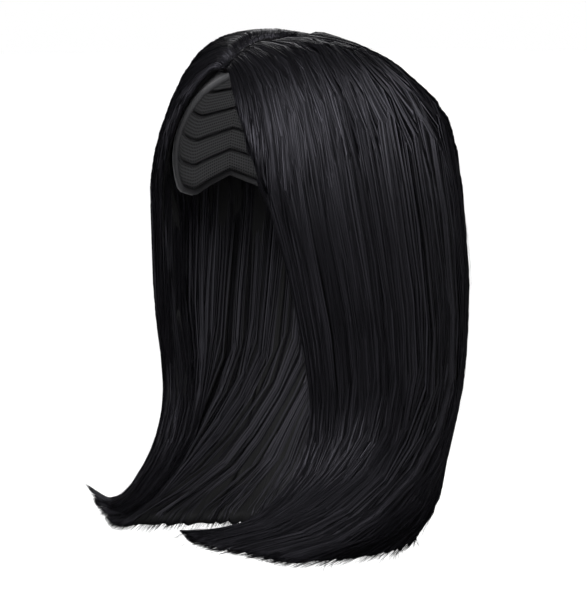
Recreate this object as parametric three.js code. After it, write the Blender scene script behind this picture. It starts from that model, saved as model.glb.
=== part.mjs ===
// A straight synthetic wig with a centre parting: a close net cap, a parting strip sewn along its crown,
// and the hair in three falls, left, right and back, whose ends curl forward and under.
// Millimetres, +Z up. The face looks along -Y and the wearer's left is +X.
// The origin is the inside of the cap at the crown, where the wig sits on a head.
import * as THREE from "three";
import { mergeVertices } from "three/addons/utils/BufferGeometryUtils.js";

// The cap is part of a rounded dome, whose half sizes are measured to its outer face.
const DOME = { centreY: 8, halfWidth: 76, halfLength: 93, halfHeight: 90, squareness: 2.2 };
const CAP_WALL = 1.6;
const CAP_COLUMNS = 44;
const CAP_ROWS = 9;

// How far down from the crown the cap reaches, by the angle round the head from the front.
// It is cut high over the forehead, drops to an ear tab, clears the ear and is deepest at the nape.
const CAP_RIM = [
  { round: 0, down: 45 },
  { round: 15, down: 55 },
  { round: 30, down: 77 },
  { round: 46, down: 99 },
  { round: 62, down: 103 },
  { round: 90, down: 94 },
  { round: 120, down: 104 },
  { round: 150, down: 112 },
  { round: 180, down: 115 },
];

// The parting strip lies on the cap, under the roots of the hair.
const STRIP = { width: 6, thickness: 0.8, frontY: -58, backY: 9, columns: 4, rows: 16 };
const SEAT_GAP = 0.35;

// The outer face of the left half of the hair, from its roots to its ends.
// Each row is one section round the head: its front edge beside the face, its widest point at the side
// and its point at the middle of the back. wall is the thickness of the hair there. From the edge to the
// side a section bulges like an ellipse, or hangs flatter by its drape; climb is how fast it rises.
// The rows are at the parting, its rise, the top, temple, ear, cheek, neck, shoulder, curl and tip.
const SECTIONS = [
  { edge: [0.5, -62, -19], side: [0.5, -20, 1.6], back: [10, 4.6], wall: 3, drape: 0, climb: 2 },
  { edge: [10, -68, -20], side: [17, -17, 6], back: [32, 3.5], wall: 10, drape: 0, climb: 2.3 },
  { edge: [29, -77, -47], side: [55, -20, -4], back: [80, -17], wall: 16, drape: 0, climb: 1.7 },
  { edge: [47, -77, -88], side: [86, -12, -50], back: [120, -54], wall: 20, drape: 0, climb: 1.2 },
  { edge: [60, -68, -131], side: [99, -3, -109], back: [130, -109], wall: 22, drape: 0, climb: 1 },
  { edge: [68, -60, -185], side: [107, 0, -169], back: [130, -167], wall: 21, drape: 0.2, climb: 1 },
  { edge: [73, -54, -238], side: [110, 0, -229], back: [122, -227], wall: 20, drape: 1, climb: 1 },
  { edge: [72, -65, -276], side: [109, -6, -279], back: [105, -277], wall: 18, drape: 1, climb: 1 },
  { edge: [64, -97, -304], side: [103, -36, -318], back: [103, -318], wall: 14, drape: 1, climb: 1 },
  { edge: [44, -138, -316], side: [88, -80, -336], back: [95, -346], wall: 6, drape: 1, climb: 1 },
];
const DRAPE_PACE = 1.2;

// Hair that lies wide apart low down gathers to the crown higher up.
const ROOT_GATHER = 3;
const GATHER_REACH = 0.38;
const GATHER_TURN = 1.5;
const BACK_START = 0.05;
const PARTING_HALF = 0.5;

// The hair is combed into locks: shallow grooves that deepen downwards, and ends that stop unevenly.
const SIDE_LOCKS = 8;
const BACK_LOCKS = 8;
const COLUMNS_PER_LOCK = 4;
const HAIR_ROWS = 20;
const GROOVE_DEPTH = 2.4;
const GROOVE_NOTCH = 0.012;
const FALL_GAP = 1;
const WIDEST_GAP = 0.08;
const LOCK_SHORTENING = [0, 0.014, 0.006, 0.018, 0.004, 0.012, 0.008, 0.016];

// Shares of the way round from the front edge, 0, to the middle of the back, 1.
const SIDE_SHARE = 0.5;
const SPLIT_SHARE = 0.64;
const EDGE_SHARE = 0.16;
const EDGE_THINNING = 0.25;
const NORMAL_STEP = 0.004;

const HAIR_FINISH = { color: 0x141417, roughness: 0.42, metalness: 0 };
const CAP_FINISH = { color: 0x1b1b1d, roughness: 0.92, metalness: 0 };
const STRIP_FINISH = { color: 0xc8a78f, roughness: 0.8, metalness: 0 };

const DOME_CENTRE = new THREE.Vector3(0, DOME.centreY, CAP_WALL - DOME.halfHeight);
const QUARTER_TURN = Math.PI / 2;
const { lerp, smoothstep, degToRad, radToDeg } = THREE.MathUtils;

// The cap's dome

// Where a line from the dome's centre meets the dome, grown outwards by that much.
function onDome(direction, grown) {
  const { halfWidth, halfLength, halfHeight, squareness } = DOME;
  const share = (part, half) => Math.abs(part / (half + grown)) ** squareness;
  const { x, y, z } = direction;
  const size = share(x, halfWidth) + share(y, halfLength) + share(z, halfHeight);
  return direction.clone().multiplyScalar(size ** (-1 / squareness)).add(DOME_CENTRE);
}

// The height of the grown dome's upper face over a place on the plan.
function domeHeight(x, y, grown) {
  const { halfWidth, halfLength, halfHeight, squareness } = DOME;
  const across = Math.abs(x / (halfWidth + grown)) ** squareness;
  const along = Math.abs((y - DOME.centreY) / (halfLength + grown)) ** squareness;
  return DOME_CENTRE.z + (halfHeight + grown) * (1 - across - along) ** (1 / squareness);
}

// A point that lies inside the grown dome is moved straight out to its face.
function clearOfDome(point, grown) {
  const direction = point.clone().sub(DOME_CENTRE);
  const face = onDome(direction, grown);
  return face.distanceTo(DOME_CENTRE) > direction.length() ? face : point;
}

// How far down the cap reaches, in radians, at an angle round the head.
const rimCurve = new THREE.SplineCurve(CAP_RIM.map((row) => new THREE.Vector2(row.round, row.down)));

function rimDrop(round) {
  const wanted = Math.min(180, Math.abs(radToDeg(round)));
  const upper = CAP_RIM.findIndex((row) => row.round >= wanted);
  const lower = Math.max(0, upper - 1);
  const span = CAP_RIM[upper].round - CAP_RIM[lower].round || 1;
  const share = (wanted - CAP_RIM[lower].round) / span;
  return degToRad(rimCurve.getPoint((lower + share) / (CAP_RIM.length - 1)).y);
}

function capPoint(u, v, grown) {
  const round = lerp(-Math.PI, Math.PI, u);
  const down = v * rimDrop(round);
  const out = Math.sin(down);
  return onDome(new THREE.Vector3(out * Math.sin(round), -out * Math.cos(round), Math.cos(down)), grown);
}

// The hair's outer and inner faces

const guide = (points) => new THREE.CatmullRomCurve3(points, false, "catmullrom");
const edgeGuide = guide(SECTIONS.map((row) => new THREE.Vector3(...row.edge)));
const sideGuide = guide(SECTIONS.map((row) => new THREE.Vector3(...row.side)));
const backGuide = guide(SECTIONS.map((row) => new THREE.Vector3(0, ...row.back)));

// A number of the sections, at a place along the hair.
function sectionValue(name, along) {
  const place = along * (SECTIONS.length - 1);
  const row = Math.min(Math.floor(place), SECTIONS.length - 2);
  return lerp(SECTIONS[row][name], SECTIONS[row + 1][name], place - row);
}

// A point of the smooth outer face: an arc from the front edge to the side, a quarter ellipse to the back.
function hairFace(round, along) {
  const side = sideGuide.getPoint(along);
  if (round <= SIDE_SHARE) {
    const edge = edgeGuide.getPoint(along);
    const drape = sectionValue("drape", along);
    const turn = (round / SIDE_SHARE) * QUARTER_TURN;
    const hung = (round / SIDE_SHARE) ** DRAPE_PACE;
    const wide = lerp(Math.sin(turn), hung * (2 - hung), drape);
    const forward = lerp(Math.cos(turn), 1 - hung, drape);
    const low = lerp(Math.cos(turn) ** sectionValue("climb", along), 1 - hung, drape);
    return new THREE.Vector3(
      lerp(edge.x, side.x, wide),
      lerp(side.y, edge.y, forward),
      lerp(side.z, edge.z, low),
    );
  }
  const back = backGuide.getPoint(along);
  const turn = ((round - SIDE_SHARE) / (1 - SIDE_SHARE)) * QUARTER_TURN;
  const rearward = Math.sin(turn);
  return new THREE.Vector3(
    lerp(back.x, side.x, Math.cos(turn)),
    lerp(side.y, back.y, rearward),
    lerp(side.z, back.z, rearward),
  );
}

// The share round the head, at a place along it, of hair whose share low down is lie.
function gathered(lie, along) {
  const root = 1 - (1 - lie) ** ROOT_GATHER;
  return lerp(lie, root, Math.max(0, 1 - along / GATHER_REACH) ** GATHER_TURN);
}

// The outward direction of the smooth face, from the steps across it.
function hairNormal(round, along) {
  const before = (share) => Math.max(0, share - NORMAL_STEP);
  const after = (share) => Math.min(1, share + NORMAL_STEP);
  const across = hairFace(after(round), along).sub(hairFace(before(round), along));
  const down = hairFace(round, after(along)).sub(hairFace(round, before(along)));
  return down.cross(across).normalize();
}

function wallThickness(round, along) {
  return sectionValue("wall", along) * lerp(EDGE_THINNING, 1, smoothstep(round, 0, EDGE_SHARE));
}

// 1 in the groove between two locks and 0 over the middle of a lock.
const groove = (locks) => Math.abs(Math.cos(Math.PI * locks)) ** 4;

// How far down the guides a column of hair ends: each lock has its own length and a notch at each side.
function endOfLock(locks) {
  const shortening = LOCK_SHORTENING[Math.floor(locks) % LOCK_SHORTENING.length];
  return 1 - shortening * (1 - groove(locks)) - GROOVE_NOTCH * groove(locks);
}

// The share by which each fall stops short of the line where the side and the back meet.
function splitGap(along) {
  const before = hairFace(gathered(SPLIT_SHARE - NORMAL_STEP, along), along);
  const after = hairFace(gathered(SPLIT_SHARE + NORMAL_STEP, along), along);
  return Math.min(WIDEST_GAP, (FALL_GAP * NORMAL_STEP) / before.distanceTo(after));
}

// The two faces of a fall of hair, from a place along the hair to its ends. spread gives its lie round the
// head and the side of the head for a share u of its width, and least is the nearest it comes to the middle.
function fallOfHair({ spread, lockCount, start, least }) {
  const face = (u, v, inner) => {
    const locks = u * lockCount;
    const along = lerp(start, endOfLock(locks), v);
    const { lie, hand } = spread(u, along);
    const round = gathered(lie, along);
    const normal = hairNormal(round, along);
    const depth = inner ? wallThickness(round, along) : GROOVE_DEPTH * along * groove(locks);
    const point = hairFace(round, along).addScaledVector(normal, -depth);
    if (inner) point.copy(clearOfDome(point, 2 * SEAT_GAP + STRIP.thickness));
    point.x = Math.max(point.x, least);
    return point.multiply(new THREE.Vector3(hand, 1, 1));
  };
  const columns = lockCount * COLUMNS_PER_LOCK;
  return wall((u, v) => face(u, v, false), (u, v) => face(u, v, true), columns, HAIR_ROWS);
}

// Closed walls

// A closed wall between two faces, each a function of u across and v along. Seen from outside the outer
// face, u runs to the right and v runs down. A wall that goes all the way round has no side edges.
function wall(outer, inner, columns, rows, allRound = false) {
  const positions = [];
  for (const face of [outer, inner]) {
    for (let j = 0; j <= rows; j++) {
      for (let i = 0; i <= columns; i++) positions.push(...face(i / columns, j / rows).toArray());
    }
  }
  const at = (face, i, j) => (face * (rows + 1) + j) * (columns + 1) + i;
  const corners = [];
  const quad = (a, b, c, d) => corners.push(a, b, c, a, c, d);
  for (let j = 0; j < rows; j++) {
    for (let i = 0; i < columns; i++) {
      quad(at(0, i, j), at(0, i, j + 1), at(0, i + 1, j + 1), at(0, i + 1, j));
      quad(at(1, i, j), at(1, i + 1, j), at(1, i + 1, j + 1), at(1, i, j + 1));
    }
    if (allRound) continue;
    quad(at(1, 0, j), at(1, 0, j + 1), at(0, 0, j + 1), at(0, 0, j));
    quad(at(0, columns, j), at(0, columns, j + 1), at(1, columns, j + 1), at(1, columns, j));
  }
  for (let i = 0; i < columns; i++) {
    quad(at(1, i, 0), at(0, i, 0), at(0, i + 1, 0), at(1, i + 1, 0));
    quad(at(0, i, rows), at(1, i, rows), at(1, i + 1, rows), at(0, i + 1, rows));
  }
  return welded(positions, corners);
}

// Joins the vertices that coincide and drops the triangles that close up when they do.
function welded(positions, corners) {
  const loose = new THREE.BufferGeometry();
  loose.setAttribute("position", new THREE.Float32BufferAttribute(positions, 3));
  loose.setIndex(corners);
  const joined = mergeVertices(loose, 1e-3);
  const index = Array.from(joined.index.array);
  const kept = [];
  for (let k = 0; k < index.length; k += 3) {
    const [a, b, c] = index.slice(k, k + 3);
    if (a !== b && b !== c && c !== a) kept.push(a, b, c);
  }
  joined.setIndex(kept);
  joined.computeVertexNormals();
  return joined;
}

// The pieces

function piece(name, geometry, finish) {
  const mesh = new THREE.Mesh(geometry, new THREE.MeshStandardMaterial(finish));
  mesh.name = name;
  return mesh;
}

function capGeometry() {
  const outer = (u, v) => capPoint(u, v, 0);
  const inner = (u, v) => capPoint(u, v, -CAP_WALL);
  return wall(outer, inner, CAP_COLUMNS, CAP_ROWS, true);
}

function stripGeometry() {
  const face = (u, v, grown) => {
    const x = lerp(-STRIP.width / 2, STRIP.width / 2, u);
    const y = lerp(STRIP.backY, STRIP.frontY, v);
    return new THREE.Vector3(x, y, domeHeight(x, y, grown));
  };
  const bottom = SEAT_GAP;
  const top = SEAT_GAP + STRIP.thickness;
  return wall((u, v) => face(u, v, top), (u, v) => face(u, v, bottom), STRIP.columns, STRIP.rows);
}

function sideGeometry() {
  const spread = (u, along) => ({ lie: u * (SPLIT_SHARE - splitGap(along)), hand: 1 });
  return fallOfHair({ spread, lockCount: SIDE_LOCKS, start: 0, least: PARTING_HALF });
}

function backGeometry() {
  const spread = (u, along) => ({
    lie: lerp(1, SPLIT_SHARE + splitGap(along), Math.abs(2 * u - 1)),
    hand: u < 0.5 ? 1 : -1,
  });
  return fallOfHair({ spread, lockCount: BACK_LOCKS, start: BACK_START, least: 0 });
}

const wig = new THREE.Group();
const leftHair = piece("side_hair_left", sideGeometry(), HAIR_FINISH);
const rightHair = piece("side_hair_right", sideGeometry(), HAIR_FINISH);
rightHair.scale.x = -1;
wig.add(
  piece("cap", capGeometry(), CAP_FINISH),
  piece("parting_strip", stripGeometry(), STRIP_FINISH),
  leftHair,
  rightHair,
  piece("back_hair", backGeometry(), HAIR_FINISH),
);

export default wig;
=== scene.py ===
# A straight black synthetic wig with a centre parting, its ends curled forward and under.
# Metres, +Z up. The face looks along -Y and the wearer's left is +X.
import math

import bpy
import numpy as np
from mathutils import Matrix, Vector


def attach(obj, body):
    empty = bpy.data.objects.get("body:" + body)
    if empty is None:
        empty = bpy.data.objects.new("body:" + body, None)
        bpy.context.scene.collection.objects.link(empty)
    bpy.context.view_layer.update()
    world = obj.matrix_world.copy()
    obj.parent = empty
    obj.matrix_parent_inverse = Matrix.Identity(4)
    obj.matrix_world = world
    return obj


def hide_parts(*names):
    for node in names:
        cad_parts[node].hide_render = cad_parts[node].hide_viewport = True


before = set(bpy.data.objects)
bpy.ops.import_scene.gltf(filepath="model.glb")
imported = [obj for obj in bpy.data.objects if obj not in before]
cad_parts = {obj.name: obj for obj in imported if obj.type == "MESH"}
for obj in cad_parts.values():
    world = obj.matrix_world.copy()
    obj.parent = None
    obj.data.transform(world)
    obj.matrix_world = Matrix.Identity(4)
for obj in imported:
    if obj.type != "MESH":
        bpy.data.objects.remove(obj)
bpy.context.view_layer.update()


# Net cap
# A close stretch-net dome that holds the wig in place when worn, knitted from black yarn. It is cut high
# over the forehead, with a tab before each ear, and reaches lowest at the nape.
MM = 0.001
CAP_WALL = 1.6 * MM
DOME_CENTRE = np.array((0, 8, -88.4)) * MM
DOME_HALF = np.array((76, 93, 90)) * MM
DOME_SQUARENESS = 2.2
CAP_SEGMENTS = 96
CAP_RINGS = 48
RIM_TURNS = (0, 15, 30, 46, 62, 90, 120, 150, 180)
RIM_DROPS = (45, 55, 77, 99, 103, 94, 104, 112, 115)
NET_BANDS = {"X": 72.0, "Y": 40.0}
NET_RELIEF = 0.4 * MM
YARN_DARK = (0.01, 0.01, 0.011, 1)
YARN_PALE = (0.13, 0.13, 0.135, 1)


def on_dome(direction, grown):
    """The point of the cap's dome, grown by that much, in each direction from its centre."""
    size = (np.abs(direction / (DOME_HALF + grown)) ** DOME_SQUARENESS).sum(-1, keepdims=True)
    return direction * size ** (-1 / DOME_SQUARENESS) + DOME_CENTRE


def rim_drop(turn):
    """How far down from the crown the cap's rim lies, at angles round from the face."""
    return np.radians(np.interp(np.degrees(np.abs(turn)), RIM_TURNS, RIM_DROPS))


def dome_point(turn, down, grown):
    """Points of the dome at angles round from the face and down from the crown."""
    flat = np.sin(down)
    return on_dome(np.stack((flat * np.sin(turn), -flat * np.cos(turn), np.cos(down)), -1), grown)


def deselect_all():
    bpy.ops.object.select_all(action="DESELECT")


def new_material(name):
    """A new material, its node tree and its Principled shader."""
    material = bpy.data.materials.new(name)
    material.use_nodes = True
    tree = material.node_tree
    return material, tree, tree.nodes["Principled BSDF"]


def node(tree, kind, **settings):
    """Adds a node and sets its properties, and its input sockets where the name is a socket's."""
    made = tree.nodes.new(kind)
    for key, value in settings.items():
        if hasattr(made, key):
            setattr(made, key, value)
        else:
            made.inputs[key].default_value = value
    return made


def two_tone(tree, value, dark, pale, span=(0, 1)):
    """Colours the shader from a dark tone to a pale one, as a value goes through a span."""
    ramp = node(tree, "ShaderNodeValToRGB")
    for stop, place, tone in zip(ramp.color_ramp.elements, span, (dark, pale)):
        stop.position = place
        stop.color = tone
    tree.links.new(value, ramp.inputs[0])
    tree.links.new(ramp.outputs[0], tree.nodes["Principled BSDF"].inputs["Base Color"])


def raised(tree, value, strength, height):
    """Gives the shader a relief that stands up with a value, by a height at most."""
    bump = node(tree, "ShaderNodeBump", Strength=strength, Distance=height)
    tree.links.new(value, bump.inputs["Height"])
    tree.links.new(bump.outputs[0], tree.nodes["Principled BSDF"].inputs["Normal"])


deselect_all()
bpy.ops.mesh.primitive_uv_sphere_add(segments=CAP_SEGMENTS, ring_count=CAP_RINGS, radius=1)
cap = bpy.context.object
cap.name = cap.data.name = "cap_net"
bpy.ops.object.mode_set(mode="EDIT")
bpy.ops.mesh.select_all(action="DESELECT")
bpy.ops.object.mode_set(mode="OBJECT")
for face in cap.data.polygons:
    face.select = face.center.z < 0
bpy.ops.object.mode_set(mode="EDIT")
bpy.ops.mesh.delete(type="FACE")
bpy.ops.object.mode_set(mode="OBJECT")

ball = np.array([vertex.co for vertex in cap.data.vertices])
ball_turn = np.arctan2(ball[:, 0], -ball[:, 1])
ball_down = np.arccos(np.clip(ball[:, 2], -1, 1)) / (math.pi / 2)
cap_points = dome_point(ball_turn, ball_down * rim_drop(ball_turn), 0)
cap.data.vertices.foreach_set("co", cap_points.ravel())
cap.data.update()

cap_wall = cap.modifiers.new("wall", "SOLIDIFY")
cap_wall.thickness = CAP_WALL
cap_wall.offset = -1
bpy.ops.object.modifier_apply(modifier=cap_wall.name)
bpy.ops.object.shade_smooth()

net, tree, shader = new_material("cap_net")
where = node(tree, "ShaderNodeTexCoord")
yarn = node(tree, "ShaderNodeMath", operation="MAXIMUM")
for strand, (direction, scale) in zip(yarn.inputs, NET_BANDS.items()):
    wave = node(tree, "ShaderNodeTexWave", bands_direction=direction, Scale=scale)
    tree.links.new(where.outputs["UV"], wave.inputs["Vector"])
    tree.links.new(wave.outputs["Fac"], strand)
two_tone(tree, yarn.outputs[0], YARN_DARK, YARN_PALE)
raised(tree, yarn.outputs[0], strength=0.5, height=NET_RELIEF)
shader.inputs["Roughness"].default_value = 0.85
shader.inputs["Specular IOR Level"].default_value = 0.2
cap.data.materials.append(net)
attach(cap, "root")
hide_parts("cap")


# Cap tapes
# Narrow satin tapes sewn round the inside of the cap, which hold the rows of hair, and a thicker band of
# soft elastic that binds the cap's edge. Both are woven in fine ribs.
TAPE_SHARES = (0.14, 0.26, 0.38, 0.5, 0.62, 0.74, 0.86)
TAPE_HALF = 1.1 * MM
TAPE_GAP = 0.3 * MM
TAPE_POINTS = 96
BAND_SHARE = 0.985
BAND_HALF = 2.2 * MM
RIBS = 500
RIB_RELIEF = 0.2 * MM
SATIN_DARK = (0.022, 0.022, 0.024, 1)
SATIN_PALE = (0.048, 0.048, 0.052, 1)

tape_turns = np.linspace(-math.pi, math.pi, TAPE_POINTS, endpoint=False)
tapes = []
for share, half in [(share, TAPE_HALF) for share in TAPE_SHARES] + [(BAND_SHARE, BAND_HALF)]:
    places = dome_point(tape_turns, rim_drop(tape_turns) * share, -CAP_WALL - TAPE_GAP)
    path = bpy.data.curves.new("tape", "CURVE")
    path.dimensions = "3D"
    path.bevel_depth = half
    path.bevel_resolution = 1
    line = path.splines.new("POLY")
    line.points.add(TAPE_POINTS - 1)
    line.points.foreach_set("co", np.column_stack((places, np.ones(TAPE_POINTS))).ravel())
    line.use_cyclic_u = True
    tape = bpy.data.objects.new("tape", path)
    bpy.context.scene.collection.objects.link(tape)
    tapes.append(tape)
deselect_all()
for tape in tapes:
    tape.select_set(True)
bpy.context.view_layer.objects.active = tapes[0]
bpy.ops.object.convert(target="MESH")
bpy.ops.object.join()
cap_tapes = bpy.context.object
cap_tapes.name = cap_tapes.data.name = "cap_tapes"

satin, tree, shader = new_material("tape_satin")
where = node(tree, "ShaderNodeTexCoord")
turn = node(tree, "ShaderNodeTexGradient", gradient_type="RADIAL")
flanks = node(tree, "ShaderNodeMath", operation="MULTIPLY")
flanks.inputs[1].default_value = 2 * RIBS
ribs = node(tree, "ShaderNodeMath", operation="PINGPONG")
ribs.inputs[1].default_value = 1
tree.links.new(where.outputs["Object"], turn.inputs["Vector"])
tree.links.new(turn.outputs["Fac"], flanks.inputs[0])
tree.links.new(flanks.outputs[0], ribs.inputs[0])
two_tone(tree, ribs.outputs[0], SATIN_DARK, SATIN_PALE)
raised(tree, ribs.outputs[0], strength=0.5, height=RIB_RELIEF)
shader.inputs["Roughness"].default_value = 0.55
cap_tapes.data.materials.append(satin)
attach(cap_tapes, "root")


# Parting strip
# A narrow skin-tone strip of woven silk along the crown, sewn flat to the cap. The hair along the parting
# is tied through it in rows of tiny knots, which show as dark specks.
KNOT_SCALE = 900.0
KNOT_EDGE = (0.18, 0.4)
KNOT_DARK = (0.03, 0.022, 0.018, 1)
SKIN_TONE = (0.42, 0.26, 0.18, 1)

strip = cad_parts["parting_strip"]
skin, tree, shader = new_material("parting_skin")
where = node(tree, "ShaderNodeTexCoord")
knots = node(tree, "ShaderNodeTexVoronoi", Scale=KNOT_SCALE)
tree.links.new(where.outputs["Object"], knots.inputs["Vector"])
two_tone(tree, knots.outputs["Distance"], KNOT_DARK, SKIN_TONE, KNOT_EDGE)
shader.inputs["Roughness"].default_value = 0.7
strip.data.materials.clear()
strip.data.materials.append(skin)


# Falls of hair
# Straight synthetic fibre in three falls, left, right and back, sewn to the cap in rows and combed from the
# parting. Under the loose fibres each fall is a dense wall of locks, thin at the face and thick at the back.
SECTION_EDGE = np.array((
    (0.5, -62, -19), (10, -68, -20), (29, -77, -47), (47, -77, -88), (60, -68, -131),
    (68, -60, -185), (73, -54, -238), (72, -65, -276), (64, -97, -304), (44, -138, -316),
)) * MM
SECTION_SIDE = np.array((
    (0.5, -20, 1.6), (17, -17, 6), (55, -20, -4), (86, -12, -50), (99, -3, -109),
    (107, 0, -169), (110, 0, -229), (109, -6, -279), (103, -36, -318), (88, -80, -336),
)) * MM
SECTION_BACK = np.array((
    (0, 10, 4.6), (0, 32, 3.5), (0, 80, -17), (0, 120, -54), (0, 130, -109),
    (0, 130, -167), (0, 122, -227), (0, 105, -277), (0, 103, -318), (0, 95, -346),
)) * MM
SECTION_WALL = np.array((3, 10, 16, 20, 22, 21, 20, 18, 14, 6)) * MM
SECTION_DRAPE = np.array((0, 0, 0, 0, 0, 0.2, 1, 1, 1, 1))
SECTION_CLIMB = np.array((2, 2.3, 1.7, 1.2, 1, 1, 1, 1, 1, 1))
DRAPE_PACE = 1.6
SIDE_SHARE = 0.5
SPLIT_SHARE = 0.64
EDGE_SHARE = 0.16
EDGE_THINNING = 0.25
FACE_STEP = 0.004
ROOT_CLEARANCE = 1.5 * MM


def guide(stations, along):
    """Points on the smooth curve through a guide's stations, at shares along it."""
    spans = len(stations) - 1
    ends = 2 * stations[[0, -1]] - stations[[1, -2]]
    padded = np.vstack((ends[:1], stations, ends[1:]))
    row = np.clip(np.floor(along * spans).astype(int), 0, spans - 1)
    part = (along * spans - row)[..., None]
    before, start, end, after = (padded[row + k] for k in range(4))
    leave, arrive = (end - before) / 2, (after - start) / 2
    cubic = 2 * (start - end) + leave + arrive
    square = 3 * (end - start) - 2 * leave - arrive
    return ((cubic * part + square) * part + leave) * part + start


def section_value(column, along):
    """A number of the sections, at shares along the hair."""
    return np.interp(along, np.linspace(0, 1, len(column)), column)


def mix(first, second, share):
    """Goes from the first value to the second by a share."""
    return first + (second - first) * share


def hair_face(around, along):
    """The smooth outer face of the left half: shares around, from the front edge to the back, and along.
    From the edge to the side it bulges like an ellipse, or hangs flatter by its drape."""
    around, along = np.broadcast_arrays(around, along)
    edge, side, back = (guide(s, along) for s in (SECTION_EDGE, SECTION_SIDE, SECTION_BACK))
    fore = around <= SIDE_SHARE
    share = np.where(fore, around / SIDE_SHARE, (around - SIDE_SHARE) / (1 - SIDE_SHARE))
    sine, cosine = np.sin(share * math.pi / 2), np.cos(share * math.pi / 2)
    hung = share**DRAPE_PACE
    drape = section_value(SECTION_DRAPE, along)
    climb = section_value(SECTION_CLIMB, along)
    narrow = np.where(fore, 1 - mix(sine, hung * (2 - hung), drape), 1 - cosine)
    reach = np.where(fore, mix(cosine, 1 - hung, drape), sine)
    low = np.where(fore, mix(cosine**climb, 1 - hung, drape), sine)
    far = np.where(fore[..., None], edge, back)
    return side + (far - side) * np.stack((narrow, reach, low), -1)


def unit(vectors):
    return vectors / np.linalg.norm(vectors, axis=-1, keepdims=True)


def either_side(share):
    """The shares just before and just after, kept between 0 and 1."""
    return np.maximum(share - FACE_STEP, 0), np.minimum(share + FACE_STEP, 1)


def hair_across(around, along):
    """A short step across the smooth face, towards the back."""
    before, after = either_side(around)
    return hair_face(after, along) - hair_face(before, along)


def hair_outward(around, along):
    """The outward direction of the smooth face."""
    above, below = either_side(along)
    down = hair_face(around, below) - hair_face(around, above)
    return unit(np.cross(down, hair_across(around, along)))


def smooth(low, high, value):
    """Goes from 0 to 1 without a kink as a value goes from low to high."""
    share = np.clip((value - low) / (high - low), 0, 1)
    return share * share * (3 - 2 * share)


def hair_wall(around, along):
    """The thickness of the hair, thinned towards the edge beside the face."""
    return section_value(SECTION_WALL, along) * mix(EDGE_THINNING, 1, smooth(0, EDGE_SHARE, around))


def clear_of_cap(points, gap):
    """Moves points that lie inside the cap, grown by a gap, out to its face."""
    direction = points - DOME_CENTRE
    face = on_dome(direction, gap)
    outside = np.linalg.norm(direction, axis=-1) > np.linalg.norm(face - DOME_CENTRE, axis=-1)
    return np.where(outside[..., None], points, face)


TUCK_SHARES = (0.012, -0.1)
TUCK_FOLD = 0.2
PARTING_SHARES = (0, 0.15, 0.3, 0.42, 0.6, 0.84, 1)
PARTING_LEFT = np.array((0, 1.5, -0.5, -4.5, -3.5, 0.2, -0.5)) * MM
PARTING_RIGHT = np.array((0, 0, 0.2, 1.2, 2.2, -0.9, -0.5)) * MM
PARTING_START = (0, 0.035)
PARTING_FADE = (0.1, 0.26)
TIP_RISE = 7 * MM
TIP_SHARES = (0, 0.1, 0.17, 0.26, 0.5, 0.6, 0.74, 0.9)
TIP_FORM = (1, 0.1, -0.25, 0, 0, -0.5, -0.5, 0)
TIP_SPAN = (0.92, 1.02)


def handed(vectors, hand):
    """Left-hand vectors, mirrored where hand is -1."""
    return vectors * np.stack((hand, np.ones_like(hand), np.ones_like(hand)), -1)


def parting_rise(around, along, hand):
    """How much higher the hair beside the parting stands: it is combed flatter on the left."""
    left, right = (np.interp(around, PARTING_SHARES, rise) for rise in (PARTING_LEFT, PARTING_RIGHT))
    near_parting = smooth(*PARTING_START, along) * (1 - smooth(*PARTING_FADE, along))
    return np.where(hand > 0, left, right) * near_parting


def tip_rise(around, along):
    """How much higher the ends stand: they turn up beside the face and hang lower behind."""
    return TIP_RISE * smooth(*TIP_SPAN, along) * np.interp(around, TIP_SHARES, TIP_FORM)


def kept_inside(around):
    """Shares round the wig kept between 0 and 1. Those below 0 fold back, close behind the edge."""
    return np.clip(np.where(around < 0, -TUCK_FOLD * around, around), 0, 1)


def tucked(around):
    """How far hair has turned round the edge beside the face: 0 outside, 1 inside."""
    return smooth(*TUCK_SHARES, around)


def hair_point(around, along, depth, hand):
    """A point at a depth under the hair's outer face, on the left, 1, or the right, -1. A share below 0 has
    gone round the edge beside the face and lies on the inner face, close behind the edge."""
    inside = kept_inside(around)
    wall = hair_wall(inside, along)
    sunk = mix(depth, wall - np.minimum(depth, wall / 2), tucked(around))
    points = hair_face(inside, along) - hair_outward(inside, along) * sunk[..., None]
    points[..., 2] += parting_rise(inside, along, hand) + tip_rise(inside, along)
    return handed(clear_of_cap(points, ROOT_CLEARANCE), hand)


def mesh_piece(name, points, corners, faces, uvs, material):
    """A piece of hair made from arrays: its points, the corners of all its faces in a row, how many corners
    each face has, and the corners' UVs."""
    mesh = bpy.data.meshes.new(name)
    mesh.vertices.add(len(points))
    mesh.vertices.foreach_set("co", points.ravel())
    mesh.loops.add(len(corners))
    mesh.loops.foreach_set("vertex_index", corners)
    starts = np.concatenate(((0,), np.cumsum(faces)[:-1]))
    mesh.polygons.add(len(faces))
    mesh.polygons.foreach_set("loop_start", starts.astype(np.int32))
    mesh.uv_layers.new(name="OFBake").data.foreach_set("uv", uvs.ravel())
    mesh.update(calc_edges=True)
    mesh.validate()
    mesh.shade_smooth()
    mesh.materials.append(material)
    piece = bpy.data.objects.new(name, mesh)
    bpy.context.scene.collection.objects.link(piece)
    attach(piece, "root")
    return piece


CORE_ROWS = 44
SIDE_COLUMNS = 64
BACK_COLUMNS = 36
CORE_INSET = 2.6 * MM
CORE_INSET_SHARE = 0.45
CORE_INNER_INSET = 1.2 * MM
CORE_THINNEST = 0.6 * MM
CORE_ENDS = (0.93, 0.996)
CORE_ENDS_SPAN = (0.05, 0.35)
CORE_RAGGED = 0.012
CORE_CUT = 0.018
CUT_SPAN = (0.25, 0.5)
SHEET_STARTS = (0, 0.5)
SHEET_WIDTH = 0.46


def quads(a, b, c, d):
    """Faces of four corners, a row each, from an array for each corner."""
    return np.stack((a, b, c, d), -1).reshape(-1, 4)


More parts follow.
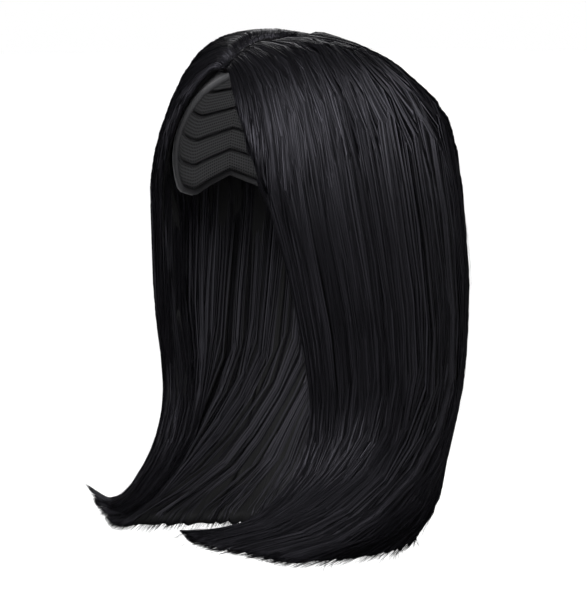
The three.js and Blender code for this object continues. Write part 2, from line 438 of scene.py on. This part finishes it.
def core_wall(name, around, hand, material):
    """The dense wall of locks inside a fall, just under its loose fibres, as a closed mesh of an outer and
    an inner sheet. On the right it is cut a little shorter beside the face."""
    columns = len(around)
    share = np.linspace(0, 1, CORE_ROWS)[:, None]
    ragged = np.random.default_rng(columns).uniform(0, CORE_RAGGED, columns)
    cut = CORE_CUT * (1 - smooth(*CUT_SPAN, around)) * (np.asarray(hand) < 0)
    along = share * (mix(*CORE_ENDS, smooth(*CORE_ENDS_SPAN, around)) - ragged - cut)
    lie = around + np.zeros((CORE_ROWS, 1))
    wall = hair_wall(lie, along)
    outer_depth = np.minimum(CORE_INSET, wall * CORE_INSET_SHARE)
    inner_depth = np.maximum(wall - CORE_INNER_INSET, outer_depth + CORE_THINNEST)
    hands = np.broadcast_to(hand, along.shape)
    sheets = [hair_point(lie, along, depth, hands) for depth in (outer_depth, inner_depth)]
    points = np.stack(sheets).reshape(-1, 3)
    across = np.linspace(0, SHEET_WIDTH, columns)
    spots = [np.stack(np.broadcast_arrays(across + start, share), -1) for start in SHEET_STARTS]
    outer, inner = np.arange(2 * CORE_ROWS * columns).reshape(2, CORE_ROWS, columns)
    faces = np.concatenate((
        quads(outer[:-1, :-1], outer[1:, :-1], outer[1:, 1:], outer[:-1, 1:]),
        quads(inner[:-1, :-1], inner[:-1, 1:], inner[1:, 1:], inner[1:, :-1]),
        quads(inner[:-1, 0], inner[1:, 0], outer[1:, 0], outer[:-1, 0]),
        quads(outer[:-1, -1], outer[1:, -1], inner[1:, -1], inner[:-1, -1]),
        quads(inner[0, :-1], outer[0, :-1], outer[0, 1:], inner[0, 1:]),
        quads(outer[-1, :-1], inner[-1, :-1], inner[-1, 1:], outer[-1, 1:]),
    ))
    if np.all(hands < 0):
        faces = faces[:, ::-1]
    corners = faces.ravel().astype(np.int32)
    uvs = np.stack(spots).reshape(-1, 2)[corners]
    return mesh_piece(name, points, corners, np.full(len(faces), 4), uvs, material)


COMB_LINES = (900, 3, 1)
PACKED_SPAN = (0.3, 0.75)
PACKED_DARK = (0.0012, 0.0012, 0.0014, 1)
PACKED_PALE = (0.007, 0.007, 0.008, 1)
PACKED_RELIEF = 0.4 * MM
packed_fibre, tree, shader = new_material("packed_fibre")
where = node(tree, "ShaderNodeTexCoord")
lines = node(tree, "ShaderNodeMapping", Scale=COMB_LINES)
streaks = node(tree, "ShaderNodeTexNoise", Scale=1.0, Detail=3.0)
tree.links.new(where.outputs["UV"], lines.inputs["Vector"])
tree.links.new(lines.outputs[0], streaks.inputs["Vector"])
two_tone(tree, streaks.outputs["Fac"], PACKED_DARK, PACKED_PALE, PACKED_SPAN)
raised(tree, streaks.outputs["Fac"], strength=0.8, height=PACKED_RELIEF)
shader.inputs["Roughness"].default_value = 0.5
shader.inputs["Specular IOR Level"].default_value = 0.25

side_around = np.linspace(0, SPLIT_SHARE, SIDE_COLUMNS)
left_core = core_wall("left_fall", side_around, 1.0, packed_fibre)
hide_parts("side_hair_left")
right_core = core_wall("right_fall", side_around, -1.0, packed_fibre)
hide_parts("side_hair_right")
back_half = np.linspace(SPLIT_SHARE, 1, BACK_COLUMNS)
back_around = np.concatenate((back_half, back_half[-2::-1]))
back_hands = np.concatenate((np.ones(BACK_COLUMNS), -np.ones(BACK_COLUMNS - 1)))
back_core = core_wall("back_fall", back_around, back_hands, packed_fibre)
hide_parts("back_hair")


# Loose fibres
# The outermost hair, where single fibres show: fine strands of black synthetic, each with its own shade,
# combed in locks that draw together at their ragged ends. They leave the parting and lie on the falls.
FIBRE_SIDES = 3
FIBRE_FLATNESS = 0.6
FIBRE_RADIUS = 0.28 * MM
FINE_RADIUS = 0.2 * MM
TIP_RADIUS = 0.04 * MM
FIBRE_DARK = (0.0008, 0.0008, 0.0010, 1)
FIBRE_PALE = (0.0275, 0.0262, 0.0325, 1)
FIBRE_SHEEN = (0.87, 0.85, 1.0, 1)
DARK_ROUGHNESS = 0.4
PALE_ROUGHNESS = 0.26

fibre, tree, shader = new_material("loose_fibre")
shade = node(tree, "ShaderNodeAttribute", attribute_name="shade")
gloss = node(tree, "ShaderNodeMapRange")
gloss.inputs["To Min"].default_value = DARK_ROUGHNESS
gloss.inputs["To Max"].default_value = PALE_ROUGHNESS
tree.links.new(shade.outputs["Fac"], gloss.inputs["Value"])
tree.links.new(gloss.outputs[0], shader.inputs["Roughness"])
two_tone(tree, shade.outputs["Fac"], FIBRE_DARK, FIBRE_PALE)
shader.inputs["Specular IOR Level"].default_value = 0.45
shader.inputs["Specular Tint"].default_value = FIBRE_SHEEN


def tube_faces(count, rings):
    """The corners of the faces of closed tubes, how many corners each face has, and the corners' UVs. The
    tubes stand side by side in the UV map."""
    index = np.arange(count * rings * FIBRE_SIDES).reshape(count, rings, FIBRE_SIDES)
    beside = np.roll(index, -1, axis=2)
    sides = quads(index[:, :-1], beside[:, :-1], beside[:, 1:], index[:, 1:])
    roots, tips = index[:, 0, ::-1], index[:, -1]
    corners = np.concatenate((sides.ravel(), roots.ravel(), tips.ravel())).astype(np.int32)
    faces = np.concatenate((np.full(len(sides), 4), np.full(2 * count, FIBRE_SIDES)))

    left = (np.arange(count)[:, None, None] + np.arange(FIBRE_SIDES) / FIBRE_SIDES) / count
    right = left + 1 / (FIBRE_SIDES * count)
    height = np.linspace(0, 1, rings)[:, None]
    left, right, top, low = np.broadcast_arrays(left, right, height[:-1], height[1:])
    side_uvs = np.stack((left, top, right, top, right, low, left, low), -1).reshape(-1, 2)
    start = np.repeat(np.arange(count) / count, FIBRE_SIDES)
    root_uvs = np.stack((start, np.zeros_like(start)), -1)
    tip_uvs = np.stack((start, np.ones_like(start)), -1)
    return corners, faces, np.concatenate((side_uvs, root_uvs, tip_uvs))


def fibre_piece(name, points, outward, radii, shades, roll):
    """A piece of fibres: closed tubes along rows of points, each point with a shade. A tube has a flat side,
    which faces outwards and is turned by its roll, and two that meet under it."""
    count, rings = points.shape[:2]
    ahead = np.gradient(points, axis=1)
    beside = unit(np.cross(ahead, outward))
    lift = unit(np.cross(beside, ahead))
    cosine, sine = np.cos(roll)[:, None, None], np.sin(roll)[:, None, None]
    facing = lift * cosine + beside * sine
    across = beside * cosine - lift * sine
    turns = (math.pi + np.arange(FIBRE_SIDES) * 2 * math.pi / FIBRE_SIDES)[:, None]
    ring = facing[:, :, None] * FIBRE_FLATNESS * np.cos(turns) + across[:, :, None] * np.sin(turns)
    tubes = points[:, :, None] + ring * radii[:, :, None, None]
    corners, faces, uvs = tube_faces(count, rings)
    piece = mesh_piece(name, tubes.reshape(-1, 3), corners, faces, uvs, fibre)

    ends = np.empty(2 * len(piece.data.edges), dtype=np.int32)
    piece.data.edges.foreach_get("vertices", ends)
    lengthwise = np.abs(ends[::2] - ends[1::2]) == FIBRE_SIDES
    crease = piece.data.attributes.new("sharp_edge", "BOOLEAN", "EDGE")
    crease.data.foreach_set("value", lengthwise)
    tone = piece.data.attributes.new("shade", "FLOAT", "POINT")
    tone.data.foreach_set("value", np.repeat(shades.ravel(), FIBRE_SIDES))


FALL_FORWARD = 0.2
FALL_SPAN = (0.13, 0.44)
ROOT_SPREAD = 0.64
ROOT_REACH = 0.37
END_SWEEP = 0.26
SWEEP_SPAN = (0.63, 1)
SWEEP_START = (0.04, 0.4)
SWEEP_FADE = (0.55, 1)


def flowed(lie, along):
    """A hair's share round the wig at a place along it, from its share at the cheek. It leaves the parting
    squarely and comes forward past the temple, where the foremost goes under the edge. Its end sweeps
    forward."""
    fall = FALL_FORWARD * (1 - smooth(*FALL_SPAN, along)) * (1 - lie)
    swept = smooth(*SWEEP_START, lie) * (1 - smooth(*SWEEP_FADE, lie))
    sweep = END_SWEEP * smooth(*SWEEP_SPAN, along) * swept
    root = 1 - (1 - np.clip(mix(lie, 1, FALL_FORWARD), 0, 1)) ** ROOT_SPREAD
    return mix(lie - sweep + fall, root, np.clip(1 - along / ROOT_REACH, 0, 1))


def fibre_outward(around, along, hand):
    """The direction a fibre faces: outwards, and on round the edge beside the face where it is tucked in."""
    inside = kept_inside(around)
    turn = (math.pi * tucked(around))[..., None]
    across = unit(hair_across(inside, along))
    return handed(hair_outward(inside, along) * np.cos(turn) - across * np.sin(turn), hand)


LOCK_WIDTHS = (0.55, 1.45)
LOCK_SHORTEST = 0.005
LOCK_SINK = 0.35 * MM
LOCK_DRIFT = 0.005
LOCK_RIDGE = 0.9 * MM
LOCK_SPAN = (0.05, 0.5)
LOCK_CLOSING = 0.03
CLOSING_SPAN = (0.78, 1)
SWAY_WAVES = 1.4
SWAY_SPAN = (0.15, 0.7)


class Locks:
    """A fall's locks: their places round the wig, lengths and lie, drawn once for all its layers."""

    def __init__(self, seed, first, last, count):
        rng = np.random.default_rng(seed)
        widths = rng.uniform(*LOCK_WIDTHS, count)
        edges = first + (last - first) * np.concatenate(((0,), np.cumsum(widths) / widths.sum()))
        self.edges = edges
        self.middle = (edges[1:] + edges[:-1]) / 2
        self.half = (edges[1:] - edges[:-1]) / 2
        self.short = rng.uniform(0, LOCK_SHORTEST, count)
        self.sink = rng.uniform(0, LOCK_SINK, count)
        self.drift = rng.normal(0, LOCK_DRIFT, count)
        self.phase = rng.uniform(0, 2 * math.pi, count)

    def of(self, lie):
        """The locks that fibres lie in."""
        return np.clip(np.searchsorted(self.edges, lie) - 1, 0, len(self.middle) - 1)

    def off(self, lie, lock):
        """How far fibres lie from the middle of their locks: -1 and 1 are the locks' edges."""
        return (lie - self.middle[lock]) / self.half[lock]

    def comb(self, lie, along, lock):
        """Where fibres run: their shares round the wig, and how deep their lock's form puts them."""
        off = self.off(lie, lock)
        close = 1 - LOCK_CLOSING * smooth(*CLOSING_SPAN, along)
        wave = np.sin(math.pi * SWAY_WAVES * along + self.phase[lock])
        sway = self.drift[lock] * wave * smooth(*SWAY_SPAN, along)
        drawn = self.middle[lock] + off * self.half[lock] * close + sway
        depth = (LOCK_RIDGE * off**2 + self.sink[lock]) * smooth(*LOCK_SPAN, along)
        return drawn, depth


FOREMOST = -0.25
SIDE_LAST = SPLIT_SHARE + 0.01
BACK_FIRST = SPLIT_SHARE - 0.02
SIDE_LOCKS = 34
BACK_LOCKS = 18
left_locks = Locks(11, FOREMOST, SIDE_LAST, SIDE_LOCKS)
right_locks = Locks(23, FOREMOST, SIDE_LAST, SIDE_LOCKS)
back_locks = Locks(37, BACK_FIRST, 1, BACK_LOCKS)

WISP_STRIDE = 0.0014
WISP_MOST = 2
WISP_WIDTHS = (0.003, 0.011)
WISP_LENGTHS = (0.16, 0.3)
WISP_WEIGHTS = (0.38, 0.16)
WISP_SHADES = (0.6, 0.95)
OWN_WEIGHT = 0.46
OWN_SHADES = (0.7, 1.4)
SHADE_MARGIN = 0.1


def in_wisps(rng, lie):
    """Normal random numbers for fibres, one for each of the thin wisps that they lie in."""
    wisp = np.floor((lie - FOREMOST) / WISP_STRIDE).astype(int)
    return np.clip(rng.normal(0, 1, wisp.max() + 1), -WISP_MOST, WISP_MOST)[wisp]


def wisp_shades(rng, lie, along):
    """Shades from 0 to 1 for fibres at their points: part of each is the fibre's own, and part is shared by
    the fibres that lie together in narrow and in broad wisps."""
    total = OWN_WEIGHT * rng.beta(*OWN_SHADES, (len(lie), 1)) + np.zeros_like(along)
    for width, length, weight in zip(WISP_WIDTHS, WISP_LENGTHS, WISP_WEIGHTS):
        wisp = np.floor((lie[:, None] - FOREMOST + SHADE_MARGIN) / width).astype(int)
        place = (along + SHADE_MARGIN) / length
        step = np.floor(place).astype(int)
        draws = rng.beta(*WISP_SHADES, (wisp.max() + 1, step.max() + 2))
        total += weight * mix(draws[wisp, step], draws[wisp, step + 1], smooth(0, 1, place - step))
    return total**2


RING_PLACES = np.array((
    0, 0.03, 0.06, 0.09, 0.125, 0.165, 0.215, 0.28, 0.35, 0.45,
    0.57, 0.65, 0.72, 0.785, 0.845, 0.905, 0.965, 1,
))
SHIFT_WAVES = ((70, 0.3), (163, 0.15))
ROW_COUNT = len(RING_PLACES)
ALL_ROWS = (0, ROW_COUNT)
EDGE_ROWS = (0, 11)
WEFT_ROWS = (5, ROW_COUNT)
INNER_ROWS = (8, ROW_COUNT)


def ring_shares(lie, rows):
    """Where the rings of fibres stand, as shares of their lengths, in a range of rows: closest at the crown
    and in the curl. They move up and down in waves round the wig, so that only neighbours bend alike."""
    rings = np.arange(len(RING_PLACES))
    shift = sum(size * np.sin(pace * lie) for pace, size in SHIFT_WAVES)[:, None]
    moved = rings + shift * np.sin(math.pi * rings / rings[-1])
    return np.interp(moved, rings, RING_PLACES)[:, slice(*rows)]


END_SHARE = 1.008
END_RAGGED = 0.006
RIGHT_CUT = 0.03
FLICK_SHARE = 0.3
FLICK_AMOUNTS = (0.7, 1.05)
FLICK_CUT = 0.03
FLICK_RAGGED = 0.01
FLICK_MOVE = np.array((-9, -9.5, 19)) * MM
FLICK_SPAN = (0.9, 0.985)
FLICK_PACE = 1.3


def cut_ends(rng, locks, lie, lock, hands):
    """Where fibres end, as shares along the hair, and how much of the flick each has: on the right the
    foremost ends turn up and out in a fan, and those beside them are cut shorter."""
    count = len(lie)
    right = hands < 0
    end = END_SHARE - locks.short[lock] - rng.exponential(END_RAGGED, count)
    arrive = flowed(lie, end)
    flick = (1 - np.clip(arrive / FLICK_SHARE, 0, 1)) ** 2 * rng.uniform(*FLICK_AMOUNTS, count) * right
    end = end - (FLICK_CUT + rng.exponential(FLICK_RAGGED, count)) * flick
    end = end - RIGHT_CUT * (1 - flick) * (1 - smooth(*CUT_SPAN, arrive)) * right
    return end, flick


WANDER = 0.0012
WANDER_WAVES = (0.6, 1.6)
WANDER_PHASES = (0, 6)
END_FRAY = 0.005
FRAY_SPAN = (0.86, 1)


def strayed(rng, along):
    """How far fibres leave their places in their locks: they wander a little, and fray at their ends."""
    count = len(along)
    waves = rng.uniform(*WANDER_WAVES, count)[:, None]
    phase = rng.uniform(*WANDER_PHASES, count)[:, None]
    wander = rng.normal(0, WANDER, count)[:, None] * np.sin(math.pi * waves * along + phase)
    fray = rng.normal(0, END_FRAY, count)[:, None] * smooth(*FRAY_SPAN, along)
    return wander * smooth(*LOCK_SPAN, along) + fray


def drawn_hands(rng, hand, count):
    """The side that each fibre lies on, left, 1, or right, -1: by chance where hand is 0."""
    if hand == 0:
        return np.where(rng.random(count) < 0.5, 1.0, -1.0)
    return np.full(count, float(hand))


TUCKED_ENDS = (0.5, 0.64)
WISP_BURY = 0.35 * MM
FIBRE_BURY = 0.25 * MM
OUTER_DEEPEST = 0.6
INNER_SHALLOWEST = 0.5
TOP_ROOT = (2.4 * MM, 0.055)
WEFT_ROOT = (6 * MM, 0.14)
BEND_ALLOWANCE = 1 / 6
FIBRE_WIDTHS = (0.75, 1.2)
LOCK_ROUND = math.radians(14)
WISP_ROLL = math.radians(20)
FIBRE_ROLL = math.radians(13)
MOST_ROLL = math.radians(34)


def combed_fibres(name, seed, count, locks, first, last, hand, rows=ALL_ROWS, radius=FIBRE_RADIUS):
    """Fibres combed over a fall, between two shares round the wig. Those of the edge go under it beside the
    face and stop there, those of a weft start lower down, under the rest, and inner ones lie on the fall's
    inner face, from under the rim of the cap."""
    rng = np.random.default_rng(seed)
    lie = first + (last - first) * (np.arange(count) + rng.random(count)) / count
    hands = drawn_hands(rng, hand, count)
    lock = locks.of(lie)
    end, flick = cut_ends(rng, locks, lie, lock, hands)
    shares = ring_shares(lie, rows)
    along = end[:, None] * shares
    if rows == EDGE_ROWS:
        along[:, -1] = rng.uniform(*TUCKED_ENDS, count)
    drawn, form = locks.comb(lie[:, None], along, lock[:, None])
    around = flowed(drawn + strayed(rng, along), along)
    wall = hair_wall(kept_inside(around), along)
    bury = (WISP_BURY * np.abs(in_wisps(rng, lie)) + np.abs(rng.normal(0, FIBRE_BURY, count)))[:, None]
    if rows == INNER_ROWS:
        depth = np.maximum(wall - bury, wall * INNER_SHALLOWEST)
    else:
        rooted, reach = WEFT_ROOT if rows == WEFT_ROWS else TOP_ROOT
        emerged = smooth(0, reach, along - along[:, :1])
        depth = np.minimum(form + bury, wall * OUTER_DEEPEST) + rooted * (1 - emerged)
    hands = np.broadcast_to(hands[:, None], along.shape)
    points = hair_point(around, along, depth, hands)
    points += FLICK_MOVE * (flick[:, None] * smooth(*FLICK_SPAN, along) ** FLICK_PACE)[..., None]
    points[:, 1:-1] += (points[:, 1:-1] - (points[:, :-2] + points[:, 2:]) / 2) * BEND_ALLOWANCE
    thick = radius * rng.uniform(*FIBRE_WIDTHS, count)[:, None]
    radii = mix(thick, TIP_RADIUS, smooth(shares[:, -2:-1], 1, shares))
    roll = WISP_ROLL * in_wisps(rng, lie) + rng.normal(0, FIBRE_ROLL, count)
    roll = np.clip(roll - hands[:, 0] * LOCK_ROUND * locks.off(lie, lock), -MOST_ROLL, MOST_ROLL)
    outward = fibre_outward(around, along, hands) * (-1 if rows == INNER_ROWS else 1)
    fibre_piece(name, points, outward, radii, wisp_shades(rng, lie, along), roll)


# Each layer's name, seed, number of fibres, locks, first and last share round the wig, and hand.
combed_fibres("left_fibres_edge", 101, 1200, left_locks, FOREMOST, -0.03, 1, EDGE_ROWS, FINE_RADIUS)
combed_fibres("left_fibres_front", 102, 1400, left_locks, -0.08, 0.12, 1, radius=FINE_RADIUS)
combed_fibres("left_fibres_side", 103, 1200, left_locks, 0.1, 0.34, 1, radius=FINE_RADIUS)
combed_fibres("left_fibres_rear", 104, 1000, left_locks, 0.32, SIDE_LAST, 1)
combed_fibres("right_fibres_edge", 105, 800, right_locks, FOREMOST, -0.03, -1, EDGE_ROWS)
combed_fibres("right_fibres_front", 106, 1000, right_locks, -0.08, 0.2, -1)
combed_fibres("right_fibres_rear", 107, 800, right_locks, 0.18, SIDE_LAST, -1)
combed_fibres("back_fibres", 108, 800, back_locks, BACK_FIRST, 1, 0)
combed_fibres("back_weft_fibres", 109, 700, back_locks, BACK_FIRST, 1, 0, WEFT_ROWS)
combed_fibres("side_inner_fibres_left", 110, 150, left_locks, 0, SIDE_LAST, 1, INNER_ROWS)
combed_fibres("side_inner_fibres_right", 111, 450, right_locks, 0, SIDE_LAST, -1, INNER_ROWS)
combed_fibres("back_inner_fibres", 112, 500, back_locks, SIDE_LAST, 1, 0, INNER_ROWS)


# Stray fibres
# Single hairs that have come away from the rest: along the edges beside the face, over the outline, under
# the ends and at the left tip. Those at the parting are roots, which rise from the strip and lie down again.
STRAY_RADIUS = 0.085 * MM
ROOT_RADIUS = 0.17 * MM
STRAY_RINGS = 8
STRAY_START = 1 * MM
STRAY_PACE = 1.7
STRAY_WIDTHS = (0.7, 1.3)
STRAY_TAPER = 0.6


def stray_fibres(
    name, seed, count, hand, lie, start, length, lift, sideways=(0, 0), past_edge=(0, 0),
    radius=STRAY_RADIUS, arc=False,
):
    """Fibres that leave the face of a fall. Each range is a pair, low and high, drawn for every fibre. They
    end further round the wig by the sideways range, and past the edge, towards the middle of the face, by
    the past_edge one. Arcs come back."""
    rng = np.random.default_rng(seed)

    def draw(low_high):
        return rng.uniform(*low_high, count)[:, None]

    steps = np.linspace(0, 1, STRAY_RINGS)
    away = steps**STRAY_PACE
    along = draw(start) + draw(length) * steps
    around = np.clip(draw(lie) + draw(sideways) * away, TUCK_SHARES[0], 1)
    lifted = np.sin(math.pi * steps) if arc else away
    depth = STRAY_START - (STRAY_START + draw(lift)) * lifted
    hands = np.broadcast_to(drawn_hands(rng, hand, count)[:, None], along.shape)
    points = hair_point(around, along, depth, hands)
    points[..., 0] -= hands * draw(past_edge) * away
    outward = fibre_outward(around, np.clip(along, 0, 1), hands)
    radii = radius * draw(STRAY_WIDTHS) * (1 - STRAY_TAPER * steps)
    shades = wisp_shades(rng, around[:, 0], along)
    fibre_piece(name, points, outward, radii, shades, np.zeros(count))


LOOSE = (0.5 * MM, 2.5 * MM)
for side, seed, count, hand in (("left", 201, 170, 1), ("right", 202, 120, -1)):
    stray_fibres(
        "edge_strays_" + side, seed, count, hand, lie=(0.012, 0.03), start=(0.1, 0.8),
        length=(0.06, 0.2), lift=(0, 1 * MM), past_edge=(1 * MM, 7 * MM),
    )
stray_fibres(
    "outline_strays", 203, 300, 0, lie=(0.05, 1), start=(0.05, 0.8),
    length=(0.1, 0.3), lift=LOOSE, sideways=(-0.02, 0.02),
)
stray_fibres(
    "end_strays", 204, 260, 0, lie=(0.02, 1), start=(0.82, 0.9),
    length=(0.08, 0.11), lift=(0, 4 * MM), sideways=(-0.02, 0.03),
)
stray_fibres(
    "tip_strays", 206, 36, 1, lie=(0.012, 0.09), start=(0.87, 0.92),
    length=(0.08, 0.118), lift=LOOSE, sideways=(-0.01, 0.05), past_edge=(-2 * MM, 5 * MM),
    radius=FINE_RADIUS,
)
stray_fibres(
    "parting_roots", 205, 420, 0, lie=(0.02, 0.72), start=(0, 0.004),
    length=(0.02, 0.045), lift=(0.8 * MM, 2.2 * MM), sideways=(0, 0.02),
    radius=ROOT_RADIUS, arc=True,
)


# Studio
# A pale paper floor well below the wig, which is held up at its cap. Soft square lights stand round it, most
# of them above, with a small one between the falls. The camera is about level with the hair, to the wearer's
# left of the face.
FLOOR_HEIGHT = -0.60
FLOOR_SIZE = 60.0
PAPER_WHITE = (0.9, 0.9, 0.9, 1)
PAPER_GLOW = 0.2
WHITE = (1, 1, 1, 1)
bpy.ops.mesh.primitive_plane_add(size=FLOOR_SIZE, location=(0, 0, FLOOR_HEIGHT))
floor = bpy.context.object
floor.name = floor.data.name = "floor"
paper, tree, shader = new_material("white_paper")
shader.inputs["Base Color"].default_value = PAPER_WHITE
shader.inputs["Roughness"].default_value = 0.9
shader.inputs["Specular IOR Level"].default_value = 0.1
shader.inputs["Emission Color"].default_value = WHITE
shader.inputs["Emission Strength"].default_value = PAPER_GLOW
floor.data.materials.append(paper)
floor.visible_glossy = False

world = bpy.data.worlds.new("white_surround")
bpy.context.scene.world = world
world.use_nodes = True
surround = world.node_tree.nodes["Background"]
surround.inputs["Color"].default_value = WHITE
surround.inputs["Strength"].default_value = 1.0
world.cycles_visibility.glossy = False


def softbox(name, place, aim, size, watts):
    """A square area light at a place, facing a point."""
    light = bpy.data.lights.new(name, "AREA")
    light.size = size
    light.energy = watts
    lamp = bpy.data.objects.new(name, light)
    bpy.context.scene.collection.objects.link(lamp)
    lamp.visible_camera = False
    lamp.location = place
    lamp.rotation_euler = (Vector(aim) - Vector(place)).to_track_quat("-Z", "Y").to_euler()


CROWN = (0, 0, -0.05)
NAPE = (0, 0, -0.2)
FAR_FALL = (-0.09, -0.03, -0.27)
softbox("key_light", (0.73, -0.51, 0.60), CROWN, size=0.7, watts=0.6)
softbox("front_light", (0.089, -1.02, 0.33), CROWN, size=0.7, watts=6.6)
softbox("side_light", (0.84, 0.34, 0.58), CROWN, size=0.7, watts=7.2)
softbox("back_light", (-0.74, 0.74, 0.71), CROWN, size=0.7, watts=4.5)
softbox("rim_light", (0.55, 1.5, -0.3), NAPE, size=0.8, watts=0.4)
softbox("low_light", (1.18, 0.21, -0.26), NAPE, size=0.8, watts=0.18)
softbox("inner_light", (0.03, -0.03, -0.25), FAR_FALL, size=0.16, watts=0.09)

CAMERA_AZIMUTH = math.radians(47)
CAMERA_ELEVATION = math.radians(6)
CAMERA_DISTANCE = 1.9
CAMERA_AIM = Vector((-5.3, 4.3, -178)) * MM
SENSOR_WIDTH = 36
FOCAL_LENGTH = 165.9
camera_data = bpy.data.cameras.new("camera")
camera_data.sensor_width = SENSOR_WIDTH
camera_data.lens = FOCAL_LENGTH
camera = bpy.data.objects.new("camera", camera_data)
bpy.context.scene.collection.objects.link(camera)
towards = Vector((
    math.sin(CAMERA_AZIMUTH) * math.cos(CAMERA_ELEVATION),
    -math.cos(CAMERA_AZIMUTH) * math.cos(CAMERA_ELEVATION),
    math.sin(CAMERA_ELEVATION),
))
camera.location = CAMERA_AIM + towards * CAMERA_DISTANCE
camera.rotation_euler = towards.to_track_quat("Z", "Y").to_euler()
bpy.context.scene.camera = camera
bpy.context.scene.view_settings.view_transform = "Standard"
